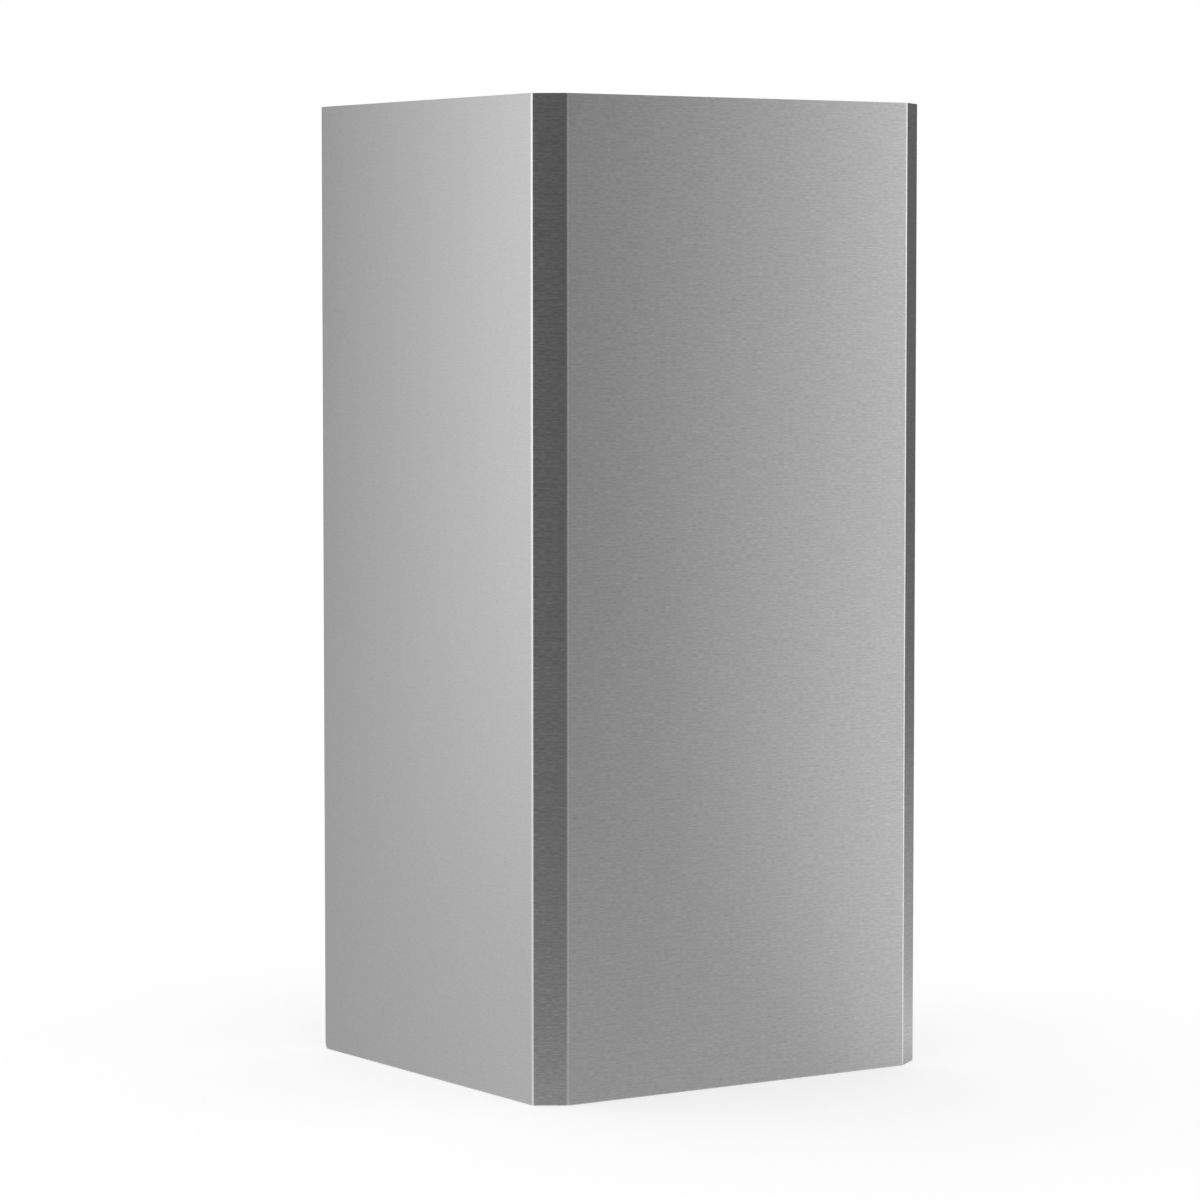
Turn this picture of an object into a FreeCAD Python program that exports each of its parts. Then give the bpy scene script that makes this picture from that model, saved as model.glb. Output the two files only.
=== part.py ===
"""Cooker hood chimney section, in millimetres.

One stainless sheet is folded six times into a channel that hides the duct above a cooker hood:
a front wall, two narrow slanting facets in place of square front corners, two side walls, and a
return along each rear edge. The wall side, the top and the base are open.

The frame has +Z up, the front wall at -Y and the wall of the room at +Y. The origin is the centre
of the footprint, on the surface that the section stands on.
"""

import FreeCAD, Part
import math
import os

# Outside sizes of the folded section
WIDTH = 300.0
DEPTH = 270.0
HEIGHT = 630.0

# Sheet and press brake
SHEET = 0.8
BEND_INSIDE = 0.8

# Slanting facet between the front wall and each side wall
FACET_FACE = 22.0
FACET_TURN_DEG = 35.0

# Rear returns, measured from the outside of the side wall to the free edge
RETURN_WIDTH = 20.0
RETURN_LIFT = 3.0

# Screw holes in the returns, one near each end
HOLE_DIAMETER = 4.5
HOLE_FROM_END = 40.0

# Sizes that follow from the ones above
BEND_OUTSIDE = BEND_INSIDE + SHEET
FACET_ACROSS = FACET_FACE * math.cos(math.radians(FACET_TURN_DEG))
FACET_BACK = FACET_FACE * math.sin(math.radians(FACET_TURN_DEG))
SIDE_X = WIDTH / 2
FRONT_Y = -DEPTH / 2
WALL_Y = DEPTH / 2
HOLE_X = SIDE_X - (BEND_OUTSIDE + RETURN_WIDTH) / 2

# How far a cutter reaches past what it cuts
CUT_PAST = 1.0


def fold_corners():
    """Outside corners of the section in plan, from the left return's free edge round to the right one's."""
    left = [
        (-SIDE_X + RETURN_WIDTH, WALL_Y),
        (-SIDE_X, WALL_Y),
        (-SIDE_X, FRONT_Y + FACET_BACK),
        (-SIDE_X + FACET_ACROSS, FRONT_Y),
    ]
    right = [(-x, y) for x, y in reversed(left)]
    return [FreeCAD.Vector(x, y, 0) for x, y in left + right]


def folded_line(corners, radius):
    """A wire of straight legs through the corners, with a tangent arc of the radius at each fold."""
    edges = []
    start = corners[0]
    for before, corner, after in zip(corners, corners[1:], corners[2:]):
        back = (before - corner).normalize()
        onward = (after - corner).normalize()
        half_turn = (math.pi - back.getAngle(onward)) / 2
        setback = radius * math.tan(half_turn)
        to_middle = radius / math.cos(half_turn) - radius
        arc_start = corner + back * setback
        arc_middle = corner + (back + onward).normalize() * to_middle
        arc_end = corner + onward * setback
        edges.append(Part.LineSegment(start, arc_start).toShape())
        edges.append(Part.Arc(arc_start, arc_middle, arc_end).toShape())
        start = arc_end
    edges.append(Part.LineSegment(start, corners[-1]).toShape())
    return Part.Wire(edges)


def folded_sheet():
    """The sheet's section, thickened inwards from its outside line and drawn up to the full height."""
    outside = folded_line(fold_corners(), BEND_OUTSIDE)
    section = outside.makeOffset2D(-SHEET, fill=True, openResult=True)
    return section.extrude(FreeCAD.Vector(0, 0, HEIGHT))


def foot_relief():
    """Cutter for the rear feet: each return stops short of the base, where its side wall ends in a round."""
    side_end = WALL_Y - BEND_OUTSIDE
    round_part = RETURN_LIFT * math.sin(math.radians(45))

    def point(y, z):
        return FreeCAD.Vector(-SIDE_X - CUT_PAST, y, z)

    arc_start = point(side_end - RETURN_LIFT, 0)
    arc_middle = point(side_end - RETURN_LIFT + round_part, RETURN_LIFT - round_part)
    arc_end = point(side_end, RETURN_LIFT)
    outer = [
        arc_end,
        point(WALL_Y + CUT_PAST, RETURN_LIFT),
        point(WALL_Y + CUT_PAST, -CUT_PAST),
        point(side_end - RETURN_LIFT, -CUT_PAST),
        arc_start,
    ]
    edges = [Part.Arc(arc_start, arc_middle, arc_end).toShape()]
    edges += [Part.LineSegment(a, b).toShape() for a, b in zip(outer, outer[1:])]
    profile = Part.Face(Part.Wire(edges))
    return profile.extrude(FreeCAD.Vector(WIDTH + 2 * CUT_PAST, 0, 0))


def return_holes():
    """Cutters for the screw holes, near the top and the base of each return."""
    length = SHEET + 2 * CUT_PAST
    cutters = []
    for x in (-HOLE_X, HOLE_X):
        for z in (HOLE_FROM_END, HEIGHT - HOLE_FROM_END):
            start = FreeCAD.Vector(x, WALL_Y - SHEET - CUT_PAST, z)
            cutters.append(Part.makeCylinder(HOLE_DIAMETER / 2, length, start, FreeCAD.Vector(0, 1, 0)))
    return cutters


def chimney_shell():
    """The whole section: the folded sheet with its rear feet relieved and its returns pierced."""
    return folded_sheet().cut([foot_relief()] + return_holes())


def main():
    os.makedirs("parts", exist_ok=True)
    shell = chimney_shell()
    solid = shell.Solids[0]
    solid.exportStep("parts/chimney_shell.step")
    box = solid.BoundBox
    print("solids", len(shell.Solids), "valid", solid.isValid(), "volume", round(solid.Volume, 1))
    print("size", round(box.XLength, 3), round(box.YLength, 3), round(box.ZLength, 3))


main()
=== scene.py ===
# %% [markdown]
# # A cooker hood chimney section
# A chimney section is the plain metal cover that hides the duct above a wall hood. The real one is a
# single brushed stainless sheet: it is cut flat, pierced, and folded six times on a press brake.
# This lesson folds the same sheet in Blender, gives it three finishes, and lights it in a small studio.
# The first cell loads the CAD model, which fixes where everything is.

# %% Load the frame
import math

import bmesh
import bpy
from mathutils import Matrix, Vector


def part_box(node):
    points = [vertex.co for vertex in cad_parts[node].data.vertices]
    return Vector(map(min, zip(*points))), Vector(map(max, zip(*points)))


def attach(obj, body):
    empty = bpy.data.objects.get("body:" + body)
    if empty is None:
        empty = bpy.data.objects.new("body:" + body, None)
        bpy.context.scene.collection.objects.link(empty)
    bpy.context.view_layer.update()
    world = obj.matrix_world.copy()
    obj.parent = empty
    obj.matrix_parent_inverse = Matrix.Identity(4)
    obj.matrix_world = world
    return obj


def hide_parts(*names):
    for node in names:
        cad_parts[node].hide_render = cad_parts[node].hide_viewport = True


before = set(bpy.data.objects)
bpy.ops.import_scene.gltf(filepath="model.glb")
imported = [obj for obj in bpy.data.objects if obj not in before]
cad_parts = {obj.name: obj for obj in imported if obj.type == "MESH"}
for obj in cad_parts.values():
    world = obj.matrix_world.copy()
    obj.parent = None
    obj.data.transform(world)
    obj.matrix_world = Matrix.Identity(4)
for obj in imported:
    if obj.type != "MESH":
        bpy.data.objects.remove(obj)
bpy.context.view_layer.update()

# %% [markdown]
# ## The sizes of the sheet
# The outside sizes come from the CAD node, so the sheet cannot drift away from it. The rest are the
# sizes a workshop drawing would give: how thick the sheet is, how tight the folds are, how wide the
# slanting facet and the rear return are. A fold of a given turn uses up some length of the two walls
# that meet there, and that set-back is the radius times the tangent of half the turn.

# %% Sizes of the sheet
SHELL_NODE = "chimney_shell"
shell_low, shell_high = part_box(SHELL_NODE)
SIDE_X = shell_high.x
FRONT_Y = shell_low.y
WALL_Y = shell_high.y
HEIGHT = shell_high.z

RIGHT_ANGLE = math.radians(90)
SHEET = 0.0008
FOLD_RADIUS = 0.0016
FACET_FACE = 0.022
FACET_TURN = math.radians(35)
SIDE_TURN = RIGHT_ANGLE - FACET_TURN
RETURN_TURN = RIGHT_ANGLE
RETURN_WIDTH = 0.020
RETURN_LIFT = 0.003


def set_back(turn):
    """The length that a fold takes from each wall beside it."""
    return FOLD_RADIUS * math.tan(turn / 2)


front_half = SIDE_X - FACET_FACE * math.cos(FACET_TURN)
side_wall = WALL_Y - FRONT_Y - FACET_FACE * math.sin(FACET_TURN)
print("half the front is", round(front_half, 5), "m wide, a side wall", round(side_wall, 5), "m")

# %% [markdown]
# ## Drawing out the sheet
# The sheet could be a box with its corners cut away, but a box knows nothing about folds. Here it is
# made the way the press brake makes it. It starts as one upright edge in the middle of the front. That
# leading edge is extruded where a wall runs straight, and spun about a fold's axis where the sheet turns.
# Each step notes the distance walked, because the brushed grain will follow the flat sheet round the folds.

# %% The leading edge
FOLD_STEPS = 10
HOLD_STRIP = 0.0004
TO_THE_LEFT = (-1, 0, 0)

sheet = bmesh.new()
walked = sheet.verts.layers.float.new("walked")


class Lead:
    """The upright edge that leads the sheet, with its heading in plan and the distance it has walked."""

    def __init__(self, x, y, heading):
        ends = [sheet.verts.new((x, y, z)) for z in (0, HEIGHT)]
        self.edge = sheet.edges.new(ends)
        self.heading = Vector(heading)
        self.distance = 0.0

    def take(self, geom, length):
        """Moves the lead to the newest edge and notes how far along the sheet it is."""
        new_verts = {v for v in geom if isinstance(v, bmesh.types.BMVert)}
        new_edges = [e for e in geom if isinstance(e, bmesh.types.BMEdge)]
        self.edge = next(e for e in new_edges if set(e.verts) <= new_verts)
        self.distance += length
        for vert in self.edge.verts:
            vert[walked] = self.distance

    def straight(self, length, lift=0.0):
        """Runs the wall on by a length, and lifts its lower end if asked."""
        geom = bmesh.ops.extrude_edge_only(sheet, edges=[self.edge])["geom"]
        verts = [v for v in geom if isinstance(v, bmesh.types.BMVert)]
        bmesh.ops.translate(sheet, verts=verts, vec=self.heading * length)
        lower = min(verts, key=lambda v: v.co.z)
        bmesh.ops.translate(sheet, verts=[lower], vec=(0, 0, lift))
        self.take(geom, length)

    def wall(self, length):
        """A flat wall with a narrow strip at each end, which keeps its shading flat up to the folds."""
        for part in (HOLD_STRIP, length - 2 * HOLD_STRIP, HOLD_STRIP):
            self.straight(part)

    def fold(self, turn):
        """Turns the sheet inwards about an upright axis, one short step at a time."""
        step = -turn / FOLD_STEPS
        foot = min(self.edge.verts, key=lambda v: v.co.z).co
        inwards = Vector((self.heading.y, -self.heading.x, 0))
        centre = foot + inwards * FOLD_RADIUS
        for _ in range(FOLD_STEPS):
            geom = [self.edge, *self.edge.verts]
            made = bmesh.ops.spin(
                sheet, geom=geom, cent=centre, axis=(0, 0, 1), angle=step, steps=1, use_merge=False
            )
            self.take(made["geom_last"], FOLD_RADIUS * abs(step))
        self.heading.rotate(Matrix.Rotation(-turn, 3, "Z"))


lead = Lead(0, FRONT_Y, TO_THE_LEFT)
print("the sheet starts at", [round(v, 4) for v in lead.edge.verts[0].co])

# %% [markdown]
# ## One half of the section
# The section is the same on both sides, so only the left half is walked: half the front, the facet, the
# side wall and the rear return. The return stops short of the base and the side wall ends there in a
# round foot. The foot is a quarter circle, drawn by lifting the lower end a little at each short step.

# %% Walk the left half
FOOT_STEPS = 8

lead.wall(front_half - set_back(FACET_TURN))
lead.fold(FACET_TURN)
lead.wall(FACET_FACE - set_back(FACET_TURN) - set_back(SIDE_TURN))
lead.fold(SIDE_TURN)
lead.wall(side_wall - set_back(SIDE_TURN) - set_back(RETURN_TURN) - RETURN_LIFT)
foot_angles = [RIGHT_ANGLE * step / FOOT_STEPS for step in range(FOOT_STEPS + 1)]
for before, after in zip(foot_angles, foot_angles[1:]):
    run = RETURN_LIFT * (math.sin(after) - math.sin(before))
    lead.straight(run, RETURN_LIFT * (math.cos(before) - math.cos(after)))
lead.fold(RETURN_TURN)
lead.wall(RETURN_WIDTH - set_back(RETURN_TURN))
print("half of the flat sheet is", round(lead.distance, 4), "m wide, with", len(sheet.faces), "faces")
print("the free edge stands at", [round(v, 5) for v in lead.edge.verts[0].co])

# %% [markdown]
# ## Screw holes in the return
# The return is screwed to a bracket on the wall, near the top and the base. A hole could be a boolean
# cut, but on one flat wall it is cleaner to open the mesh: two cuts fence off a patch, the patch's face
# is deleted, and the room between a circle and the patch's edges is filled with triangles.

# %% Pierce the return
HOLE_RADIUS = 0.00225
HOLE_FROM_END = 0.040
HOLE_SIDES = 32
PATCH = 0.010
NEAR_HOLES = 0.0025
hole_x = -SIDE_X + (FOLD_RADIUS + RETURN_WIDTH) / 2


def return_faces():
    """The faces of the return's flat wall, whose middles lie near the line of the holes."""
    return [f for f in sheet.faces if abs(f.calc_center_median().x - hole_x) < NEAR_HOLES]


def pierce(height):
    """Opens a round hole in the return at a height."""
    for cut_z in (height - PATCH, height + PATCH):
        faces = return_faces()
        around = {part for f in faces for part in (f, *f.edges, *f.verts)}
        bmesh.ops.bisect_plane(sheet, geom=list(around), plane_co=(0, 0, cut_z), plane_no=(0, 0, 1))
    patch = min(return_faces(), key=lambda f: abs(f.calc_center_median().z - height))
    rim = list(patch.edges)
    bmesh.ops.delete(sheet, geom=[patch], context="FACES_ONLY")
    upright = Matrix.Translation((hole_x, WALL_Y, height)) @ Matrix.Rotation(RIGHT_ANGLE, 4, "X")
    made = bmesh.ops.create_circle(sheet, segments=HOLE_SIDES, radius=HOLE_RADIUS, matrix=upright)
    ring = made["verts"]
    free_x = -SIDE_X + RETURN_WIDTH
    for vert in ring:
        vert[walked] = lead.distance - (free_x - vert.co.x)
    circle = list({e for v in ring for e in v.link_edges})
    bmesh.ops.triangle_fill(sheet, edges=rim + circle, use_beauty=True, normal=(0, 1, 0))


for hole_z in (HOLE_FROM_END, HEIGHT - HOLE_FROM_END):
    pierce(hole_z)
print("pierced:", len(sheet.faces), "faces")

# %% [markdown]
# ## The other half, and the map of the flat sheet
# Mirror copies the half across the middle of the front and merges the edge they share. A mirrored copy
# is inside out, so the normals are worked out again. Then each corner of each face gets the place it had
# on the flat sheet: distance from the middle across, height up. Blender could unwrap the mesh by itself,
# but not in true metres, and the grain that will follow this map has a real size.

# %% Mirror and map
MERGE = 0.000001
left_half = list(sheet.verts) + list(sheet.edges) + list(sheet.faces)
bmesh.ops.mirror(sheet, geom=left_half, matrix=Matrix.Identity(4), merge_dist=MERGE, axis="X")
bmesh.ops.recalc_face_normals(sheet, faces=list(sheet.faces))

flat_map = sheet.loops.layers.uv.new("flat_sheet")
for face in sheet.faces:
    face.smooth = True
    for corner in face.loops:
        across = math.copysign(corner.vert[walked], face.calc_center_median().x)
        corner[flat_map].uv = (across, corner.vert.co.z)
widest = max(sheet.faces, key=lambda f: f.calc_area())
print("faces", len(sheet.faces), "widest face looks along", [round(v, 3) for v in widest.normal])

# %% [markdown]
# ## Thickness
# So far the sheet is only its outside skin. The inside could be walked as well, but its folds are tighter
# and all its lengths differ. A Solidify modifier works that out: it gives the skin thickness inwards, and
# puts the second material on the inside and the third on the cut edges. A very small Bevel takes the
# knife edge off the cut, as the workshop does, so that the rims catch a thin line of light.

# %% Make the shell object
INWARDS = -1
DEBURR = 0.00012
DEBURR_SEGMENTS = 2
DEBURR_FROM = math.radians(50)

shell_mesh = bpy.data.meshes.new("folded_sheet")
sheet.to_mesh(shell_mesh)
sheet.free()
shell = bpy.data.objects.new("folded_sheet", shell_mesh)
bpy.context.scene.collection.objects.link(shell)

thickness = shell.modifiers.new("sheet thickness", "SOLIDIFY")
thickness.thickness = SHEET
thickness.offset = INWARDS
thickness.use_even_offset = True
thickness.use_quality_normals = True
thickness.material_offset = 1
thickness.material_offset_rim = 2

deburr = shell.modifiers.new("deburred rims", "BEVEL")
deburr.width = DEBURR
deburr.segments = DEBURR_SEGMENTS
deburr.limit_method = "ANGLE"
deburr.angle_limit = DEBURR_FROM
deburr.harden_normals = True

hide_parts(SHELL_NODE)
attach(shell, "root")
print("shell:", len(shell_mesh.polygons), "faces before", [m.name for m in shell.modifiers])

# %% [markdown]
# ## Brushed stainless, outside
# Brushing leaves fine scratches that run across the sheet. Each one scatters light up and down much more
# than sideways, so reflections stretch upright: that is what the anisotropy is for. The tangent follows
# the flat sheet's map, turned a quarter so that the stretch is upright. A picture of scratches would blur
# from close by. So two noises, squeezed into thin streaks of different length, vary the tone, the
# roughness and the relief. The grain's swing in tone is set by place, most on the narrow facet and least on
# the side walls: that is grain with painted reflection, standing in for how the reflections bring the
# scratches out. A lighter tone along the outside of each fold is a painted highlight for the folds' glint.
# Both are read from the distance along the sheet.

# %% A bare metal, and streaks on it
def bare_metal(name):
    """A metal material with an otherwise empty node tree, and its main shader."""
    material = bpy.data.materials.new(name)
    material.use_nodes = True
    nodes = material.node_tree.nodes
    nodes.clear()
    output = nodes.new("ShaderNodeOutputMaterial")
    shader = nodes.new("ShaderNodeBsdfPrincipled")
    shader.inputs["Metallic"].default_value = 1.0
    material.node_tree.links.new(shader.outputs["BSDF"], output.inputs["Surface"])
    return material, shader


def flat_place(tree):
    """Where a point lies on the flat sheet: across from the middle, and up."""
    flat = tree.nodes.new("ShaderNodeUVMap")
    flat.uv_map = "flat_sheet"
    return flat.outputs["UV"]


def streaks(tree, to_a_metre, detail=1.0):
    """Noise on the flat sheet, with so many features to a metre across the sheet and up it."""
    squeeze = tree.nodes.new("ShaderNodeMapping")
    squeeze.inputs["Scale"].default_value = (*to_a_metre, 1)
    noise = tree.nodes.new("ShaderNodeTexNoise")
    noise.noise_dimensions = "2D"
    noise.inputs["Scale"].default_value = 1.0
    noise.inputs["Detail"].default_value = detail
    tree.links.new(flat_place(tree), squeeze.inputs["Vector"])
    tree.links.new(squeeze.outputs["Vector"], noise.inputs["Vector"])
    return noise.outputs["Fac"]


print("the streaks will follow the map", shell_mesh.uv_layers.active.name)

# %% Working with values
NOISE_SPAN = (0.3, 0.7)
SCRATCH_DEPTH = 0.00002


def between(tree, value, low, high, span=(0, 1)):
    """Goes from low to high as a value crosses a span, and stays level outside it."""
    node = tree.nodes.new("ShaderNodeMapRange")
    node.inputs["From Min"].default_value = span[0]
    node.inputs["From Max"].default_value = span[1]
    node.inputs["To Min"].default_value = low
    node.inputs["To Max"].default_value = high
    tree.links.new(value, node.inputs["Value"])
    return node.outputs["Result"]


def spread(tree, noise, low, high):
    """Spreads a noise, which is mostly near the middle of 0 to 1, between two values."""
    return between(tree, noise, low, high, NOISE_SPAN)


def combine(tree, operation, first, second=0.0):
    """One Math node on a value and another value or a plain number."""
    node = tree.nodes.new("ShaderNodeMath")
    node.operation = operation
    tree.links.new(first, node.inputs[0])
    if isinstance(second, (int, float)):
        node.inputs[1].default_value = second
    else:
        tree.links.new(second, node.inputs[1])
    return node.outputs["Value"]


def relief(tree, shader, height, strength):
    """Turns a noise into fine scratches that the light can feel."""
    bump = tree.nodes.new("ShaderNodeBump")
    bump.inputs["Strength"].default_value = strength
    bump.inputs["Distance"].default_value = SCRATCH_DEPTH
    tree.links.new(height, bump.inputs["Height"])
    tree.links.new(bump.outputs["Normal"], shader.inputs["Normal"])


print("noise is read from", NOISE_SPAN, "and scratches are at most", SCRATCH_DEPTH, "m deep")

# %% Where the grain and the folds show
FACET_START = front_half
FACET_END = front_half + FACET_FACE
REAR_FOLD = FACET_END + side_wall
EASE = 0.001
# How strongly the grain shows on each wall: grain with painted reflection, strongest on the facet.
GRAIN_AND_REFLECTION_FRONT = 0.09
GRAIN_AND_REFLECTION_FACET = 0.15
GRAIN_AND_REFLECTION_SIDE = 0.05
# How far the painted highlight along each fold reaches onto the walls.
PAINTED_HIGHLIGHT_REACH = 0.001


def from_middle(tree):
    """The distance along the flat sheet from the middle of the front, to either side."""
    axes = tree.nodes.new("ShaderNodeSeparateXYZ")
    tree.links.new(flat_place(tree), axes.inputs["Vector"])
    return combine(tree, "ABSOLUTE", axes.outputs["X"])


def grain_and_painted_reflection(tree, distance):
    """How strongly the grain's tone swings by place: grain with painted reflection, most on the narrow
    facet, least on the side wall.
    """
    onto_facet = between(tree, distance, GRAIN_AND_REFLECTION_FRONT, GRAIN_AND_REFLECTION_FACET, (FACET_START, FACET_START + EASE))
    onto_side = between(tree, distance, 1.0, GRAIN_AND_REFLECTION_SIDE / GRAIN_AND_REFLECTION_FACET, (FACET_END - EASE, FACET_END))
    return combine(tree, "MULTIPLY", onto_facet, onto_side)


def painted_fold_highlight(tree, distance):
    """The mask of the painted fold highlight: 1 along the outside of each fold, fading to 0 on the flat
    walls beside it.
    """
    folds = []
    for place in (FACET_START, FACET_END, REAR_FOLD):
        aside = combine(tree, "ABSOLUTE", combine(tree, "SUBTRACT", distance, place))
        folds.append(between(tree, aside, 1.0, 0.0, (PAINTED_HIGHLIGHT_REACH / 2, PAINTED_HIGHLIGHT_REACH)))
    most = combine(tree, "MAXIMUM", folds[0], folds[1])
    return combine(tree, "MAXIMUM", most, folds[2])


print("folds along the sheet:", [round(place, 4) for place in (FACET_START, FACET_END, REAR_FOLD)])

# %% Brushed finish
FINE_STREAKS = (240, 1500)
LONG_STREAKS = (45, 1300)
FINE_SWING = 0.45
LONG_SWING = 0.25
STEEL_TONE = 0.6
# A painted highlight: how much lighter the outside of each fold is.
PAINTED_HIGHLIGHT_TONE = 0.2
BRUSHED_ROUGH = (0.35, 0.38)
LONG_ROUGH = 0.01
BRUSHED_RELIEF = 0.15
UPRIGHT_STRETCH = 0.89
QUARTER_TURN = 0.25


def brushed_finish():
    """The outside of the sheet: fine scratches across it, a painted highlight along the folds, and a
    reflection that stretches upright.
    """
    material, shader = bare_metal("brushed_outside")
    tree = material.node_tree
    fine = streaks(tree, FINE_STREAKS)
    long = streaks(tree, LONG_STREAKS)
    distance = from_middle(tree)

    fine_swing = spread(tree, fine, -FINE_SWING, FINE_SWING)
    long_swing = spread(tree, long, -LONG_SWING, LONG_SWING)
    swing = combine(tree, "ADD", fine_swing, long_swing)
    # The grain's swing, scaled by place, which paints reflection into the grain.
    grain = combine(tree, "MULTIPLY", swing, grain_and_painted_reflection(tree, distance))
    # A painted highlight: a lighter tone along the outside of each fold.
    painted_highlight = combine(tree, "MULTIPLY", painted_fold_highlight(tree, distance), PAINTED_HIGHLIGHT_TONE)
    tone = combine(tree, "ADD", combine(tree, "ADD", grain, painted_highlight), STEEL_TONE)
    tree.links.new(tone, shader.inputs["Base Color"])

    fine_rough = spread(tree, fine, *BRUSHED_ROUGH)
    long_rough = spread(tree, long, -LONG_ROUGH, LONG_ROUGH)
    tree.links.new(combine(tree, "ADD", fine_rough, long_rough), shader.inputs["Roughness"])
    relief(tree, shader, combine(tree, "ADD", fine, long), BRUSHED_RELIEF)

    along = tree.nodes.new("ShaderNodeTangent")
    along.direction_type = "UV_MAP"
    along.uv_map = "flat_sheet"
    tree.links.new(along.outputs["Tangent"], shader.inputs["Tangent"])
    shader.inputs["Anisotropic"].default_value = UPRIGHT_STRETCH
    shader.inputs["Anisotropic Rotation"].default_value = QUARTER_TURN
    return material


shell_mesh.materials.append(brushed_finish())
print("outside:", shell_mesh.materials[-1].name, "with a tone of", STEEL_TONE)

# %% [markdown]
# ## Inside and cut edges
# Only the side that shows is brushed. The inside is left as it came from the rolling mill, duller and
# greyer, with faint lines along the way it was rolled, which is the way it was brushed. The cut edges are
# bare bright metal with fine marks from the shear. One material on the whole sheet would look like cast
# metal, so each of the three faces of the sheet gets its own.

# %% Mill finish
ROLLED_LINES = (14, 420)
ROLLED_DETAIL = 2.0
MILL_TONE = (0.49, 0.53)
MILL_ROUGH = (0.38, 0.42)
MILL_RELIEF = 0.05


def mill_finish():
    """The inside of the sheet: dull, with faint lines along the way it was rolled."""
    material, shader = bare_metal("mill_finish_inside")
    tree = material.node_tree
    rolled = streaks(tree, ROLLED_LINES, ROLLED_DETAIL)
    tree.links.new(spread(tree, rolled, *MILL_TONE), shader.inputs["Base Color"])
    tree.links.new(spread(tree, rolled, *MILL_ROUGH), shader.inputs["Roughness"])
    relief(tree, shader, rolled, MILL_RELIEF)
    return material


shell_mesh.materials.append(mill_finish())
print("inside:", shell_mesh.materials[-1].name, "with tones of", MILL_TONE)

# %% Cut edge
SHEAR_MARKS = (2500, 2500)
EDGE_TONE = (0.55, 0.68)
EDGE_ROUGH = (0.22, 0.36)
EDGE_RELIEF = 0.1


def cut_edge():
    """The sheared and deburred rims: bright metal with fine marks through the thickness."""
    material, shader = bare_metal("cut_edge")
    tree = material.node_tree
    marks = streaks(tree, SHEAR_MARKS)
    tree.links.new(spread(tree, marks, *EDGE_TONE), shader.inputs["Base Color"])
    tree.links.new(spread(tree, marks, *EDGE_ROUGH), shader.inputs["Roughness"])
    relief(tree, shader, marks, EDGE_RELIEF)
    return material


shell_mesh.materials.append(cut_edge())
print("rims:", shell_mesh.materials[-1].name, "with tones of", EDGE_TONE)

# %% [markdown]
# ## White surround
# The background is plain white. A strong world light would give that, but it would flood the object too.
# So the surround has its full strength of 1 only where the camera sees it, straight on or in a mirror,
# and a lower one where it lights the object.

# %% White surround
def seen_or_mirrored(tree):
    """1 for rays from the camera, a mirror or through glass, and 0 for the rays that light the object."""
    path = tree.nodes.new("ShaderNodeLightPath")
    seen = path.outputs["Is Camera Ray"]
    for ray in ("Is Glossy Ray", "Is Transmission Ray"):
        seen = combine(tree, "MAXIMUM", seen, path.outputs[ray])
    return seen


AMBIENT = 0.7

world = bpy.data.worlds.new("white_surround")
bpy.context.scene.world = world
world.use_nodes = True
sky = world.node_tree
surround = sky.nodes["Background"]
surround.inputs["Color"].default_value = (1, 1, 1, 1)
sky.links.new(between(sky, seen_or_mirrored(sky), AMBIENT, 1.0), surround.inputs["Strength"])
print("surround:", world.name, "lights the object with a strength of", AMBIENT)

# %% [markdown]
# ## Cards round the metal
# Brushed metal has almost no look of its own: it shows what stands round it. Lamps would put hot spots on
# it, so the light comes from a square of upright cards, as a product photographer sets them. Each card
# is a soft box with some of its length flagged off, where the metal should go dark. A fifth card lies on
# the floor, turned a little, because the lower half of each wall mirrors the floor. The camera does not
# see the cards, only the metal does.

# %% Light along a card
# Each stop is a place along the card, in metres from its middle, and how bright the card is there.
left_stops = [(-1.2, 0.4), (-0.8, 1.0), (-0.3, 1.3), (1.2, 1.6)]
front_stops = [(-1.2, 0.0), (-0.5, 0.05), (0.0, 0.3), (0.6, 0.15), (0.95, 0.5), (1.2, 1.6)]
right_stops = [(-1.2, 1.6), (-0.4, 1.6), (0.05, 0.2), (0.4, 0.05), (0.7, 0.6), (1.2, 0.6)]
rear_stops = [(-1.2, 1.7), (-0.9, 0.85), (-0.6, 0.15), (-0.2, 0.6), (1.2, 0.6)]
floor_stops = [(-0.6, 0.25), (-0.2, 0.55), (0.0, 0.5), (0.2, 0.95), (0.4, 0.65)]


def glow(name, stops):
    """Light that changes along a card, from stop to stop."""
    material = bpy.data.materials.new(name)
    material.use_nodes = True
    tree = material.node_tree
    tree.nodes.clear()
    start, end = stops[0][0], stops[-1][0]
    peak = max(bright for _, bright in stops)
    place = tree.nodes.new("ShaderNodeTexCoord")
    axes = tree.nodes.new("ShaderNodeSeparateXYZ")
    along = tree.nodes.new("ShaderNodeMapRange")
    along.inputs["From Min"].default_value = start
    along.inputs["From Max"].default_value = end
    ramp = tree.nodes.new("ShaderNodeValToRGB")
    for at, _ in stops[1:-1]:
        ramp.color_ramp.elements.new((at - start) / (end - start))
    for stop, (at, bright) in zip(ramp.color_ramp.elements, stops):
        stop.position = (at - start) / (end - start)
        stop.color = (bright / peak, bright / peak, bright / peak, 1)
    light = tree.nodes.new("ShaderNodeEmission")
    light.inputs["Strength"].default_value = peak
    output = tree.nodes.new("ShaderNodeOutputMaterial")
    tree.links.new(place.outputs["Object"], axes.inputs["Vector"])
    tree.links.new(axes.outputs["X"], along.inputs["Value"])
    tree.links.new(along.outputs["Result"], ramp.inputs["Fac"])
    tree.links.new(ramp.outputs["Color"], light.inputs["Color"])
    tree.links.new(light.outputs["Emission"], output.inputs["Surface"])
    return material


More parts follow.
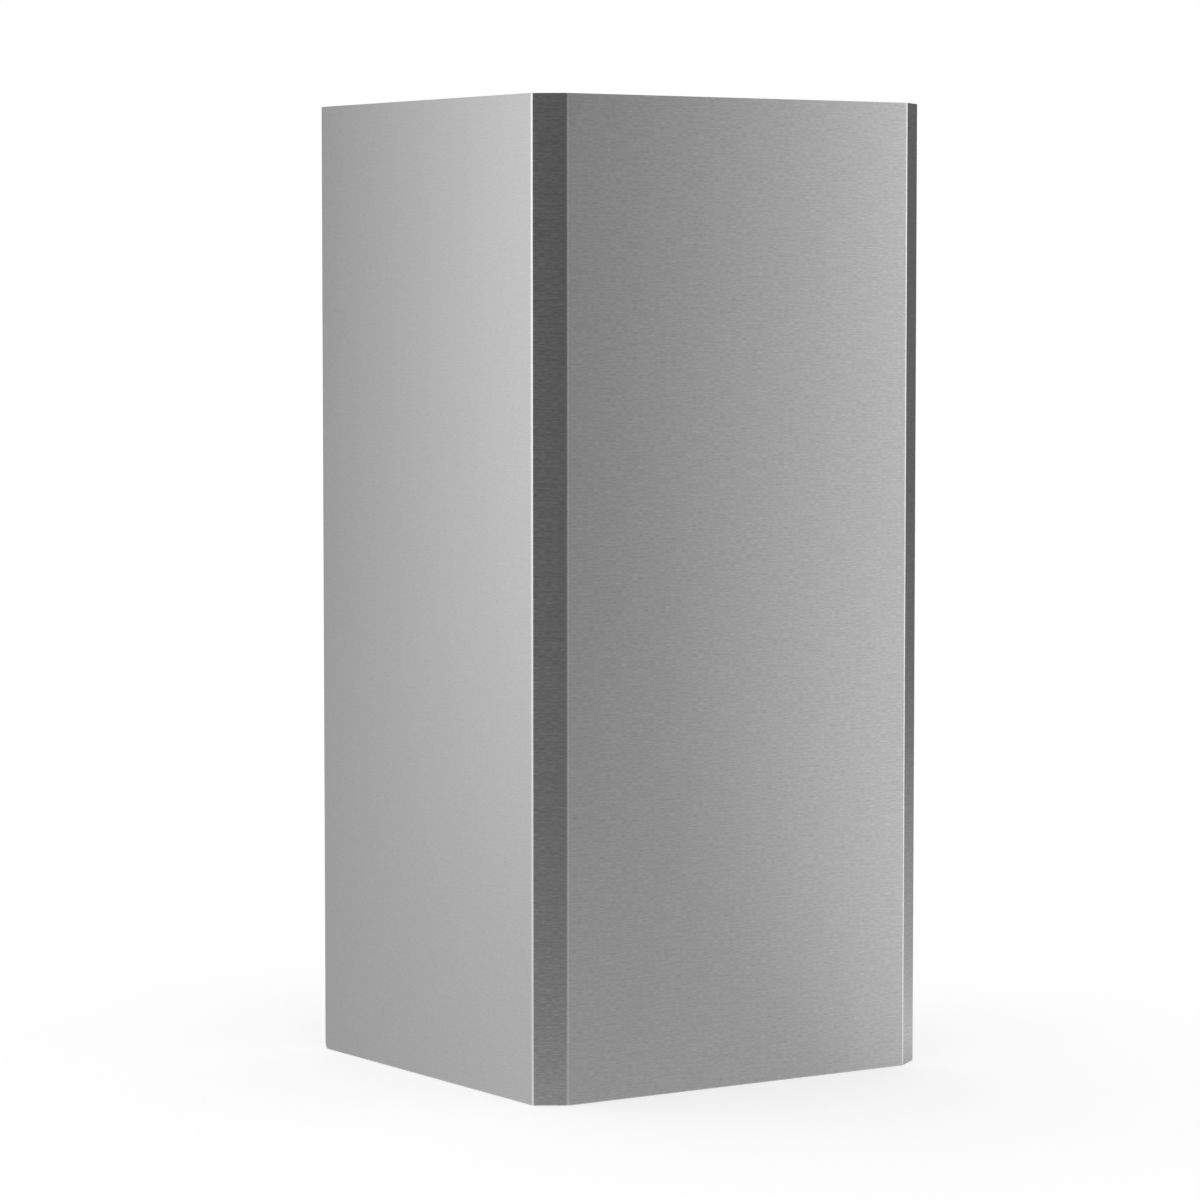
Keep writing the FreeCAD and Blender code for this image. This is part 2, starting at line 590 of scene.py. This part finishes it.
all_stops = left_stops + front_stops + right_stops + rear_stops + floor_stops
brightness = [bright for _, bright in all_stops]
print("the cards' light goes from", min(brightness), "to", max(brightness))

# %% Set the cards
STUDIO_HALF = 1.2
CARD_HEIGHT = 2.2
CARD = (2 * STUDIO_HALF, CARD_HEIGHT)
CARD_MIDDLE = CARD_HEIGHT / 2
FLOOR_CARD = (3.4, 3.4)
FLOOR_CARD_LIFT = 0.0005
FLOOR_CARD_TURN = math.radians(25)
UNIT_HALF = 0.5


def card(name, size, place, turn, stops):
    """A card with its middle at a place, which only mirrored rays see."""
    mesh = bpy.data.meshes.new(name)
    panel = bmesh.new()
    bmesh.ops.create_grid(panel, x_segments=1, y_segments=1, size=UNIT_HALF)
    bmesh.ops.scale(panel, verts=panel.verts, vec=(*size, 1))
    panel.to_mesh(mesh)
    panel.free()
    mesh.materials.append(glow(name, stops))
    piece = bpy.data.objects.new(name, mesh)
    piece.location = place
    piece.rotation_euler = turn
    piece.visible_camera = False
    piece.visible_diffuse = False
    piece.visible_shadow = False
    bpy.context.scene.collection.objects.link(piece)


facing_side = (RIGHT_ANGLE, 0, RIGHT_ANGLE)
facing_front = (RIGHT_ANGLE, 0, 0)
card("left_card", CARD, (-STUDIO_HALF, 0, CARD_MIDDLE), facing_side, left_stops)
card("front_card", CARD, (0, -STUDIO_HALF, CARD_MIDDLE), facing_front, front_stops)
card("right_card", CARD, (STUDIO_HALF, 0, CARD_MIDDLE), facing_side, right_stops)
card("rear_card", CARD, (0, STUDIO_HALF, CARD_MIDDLE), facing_front, rear_stops)
card("floor_card", FLOOR_CARD, (0, 0, FLOOR_CARD_LIFT), (0, 0, FLOOR_CARD_TURN), floor_stops)
print("cards: four upright,", CARD_HEIGHT, "m high, and one on the floor")

# %% [markdown]
# ## Floor
# The floor is a sheet of white paper. Lit by the surround alone it would look grey, and more light would
# flood the object. So the paper glows a little, only where the camera sees it, straight on or in a mirror,
# and the soft shadow of the object still shows on it.

# %% Floor
FLOOR_HALF = 30
PAPER_TONE = 0.8
PAPER_GLOW = 0.46

floor_mesh = bpy.data.meshes.new("floor")
floor_plane = bmesh.new()
bmesh.ops.create_grid(floor_plane, x_segments=1, y_segments=1, size=FLOOR_HALF)
floor_plane.to_mesh(floor_mesh)
floor_plane.free()
floor = bpy.data.objects.new("floor", floor_mesh)
bpy.context.scene.collection.objects.link(floor)

floor_paper = bpy.data.materials.new("white_paper")
floor_paper.use_nodes = True
paper = floor_paper.node_tree
paper_shader = paper.nodes["Principled BSDF"]
paper_shader.inputs["Base Color"].default_value = (PAPER_TONE, PAPER_TONE, PAPER_TONE, 1)
paper_shader.inputs["Roughness"].default_value = 1.0
paper_shader.inputs["Specular IOR Level"].default_value = 0.0
paper_shader.inputs["Emission Color"].default_value = (1, 1, 1, 1)
paper_glow = between(paper, seen_or_mirrored(paper), 0.0, PAPER_GLOW)
paper.links.new(paper_glow, paper_shader.inputs["Emission Strength"])
floor_mesh.materials.append(floor_paper)
print("floor:", 2 * FLOOR_HALF, "m square of", floor_paper.name)

# %% [markdown]
# ## Camera
# The photograph was taken with a long lens from the front left, at about four fifths of the height. A
# camera could be set by eye, but a plain box shows every degree. The place below is where a camera has to
# stand for the folds and corners to fall where they do in the photograph.

# %% Camera
CAMERA_PLACE = (-1.6591, -2.4536, 0.5085)
CAMERA_YAW = math.radians(33.786)
CAMERA_TILT = math.radians(3.945)
CAMERA_LENS = 134.58

camera_data = bpy.data.cameras.new("photo camera")
camera_data.lens = CAMERA_LENS
camera = bpy.data.objects.new("photo camera", camera_data)
camera.location = CAMERA_PLACE
camera.rotation_euler = (RIGHT_ANGLE - CAMERA_TILT, 0, -CAMERA_YAW)
bpy.context.scene.collection.objects.link(camera)
bpy.context.scene.camera = camera
bpy.context.scene.view_settings.view_transform = "Standard"
print("camera:", round(Vector(CAMERA_PLACE).length, 2), "m from the foot of the object")
